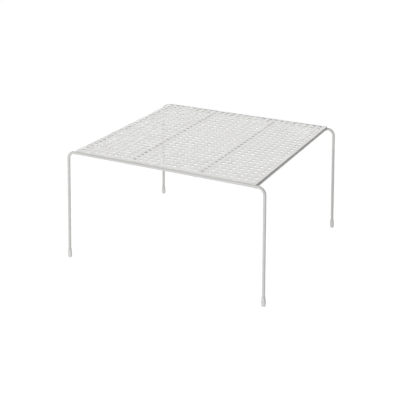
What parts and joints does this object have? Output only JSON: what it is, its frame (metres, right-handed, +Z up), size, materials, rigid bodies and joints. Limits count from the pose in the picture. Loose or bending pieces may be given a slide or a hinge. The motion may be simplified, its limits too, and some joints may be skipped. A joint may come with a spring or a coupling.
{
  "type": "shelf riser",
  "caption": "Free-standing wire shelf riser with a flat perforated steel sheet on bent wire legs with push-on foot caps, for adding a level inside a cupboard.",
  "frame": {"origin": "on the floor, under the middle of the shelf", "axes": "+X to the right along the front top rail, +Y from the front frame to the back frame, +Z up"},
  "size_m": [0.3056, 0.2746, 0.161],
  "materials": {
    "wire_coat": "satin white powder coat on round steel wire",
    "sheet_coat": "satin white powder coat with a fine orange-peel texture",
    "weld_coat": "powder coat over uneven weld metal",
    "cap_plastic": "moulded white plastic, slightly translucent"
  },
  "bodies": {
    "root": {"front_leg_frame": "wire_coat", "back_leg_frame": "wire_coat", "left_side_rail": "wire_coat", "right_side_rail": "wire_coat", "left_support_wire": "wire_coat", "right_support_wire": "wire_coat", "perforated_sheet": "sheet_coat", "front_rail_weld_beads": "weld_coat", "back_rail_weld_beads": "weld_coat", "sheet_spot_welds": "weld_coat", "front_left_foot_cap": "cap_plastic", "front_right_foot_cap": "cap_plastic", "back_left_foot_cap": "cap_plastic", "back_right_foot_cap": "cap_plastic"}
  },
  "joints": []
}
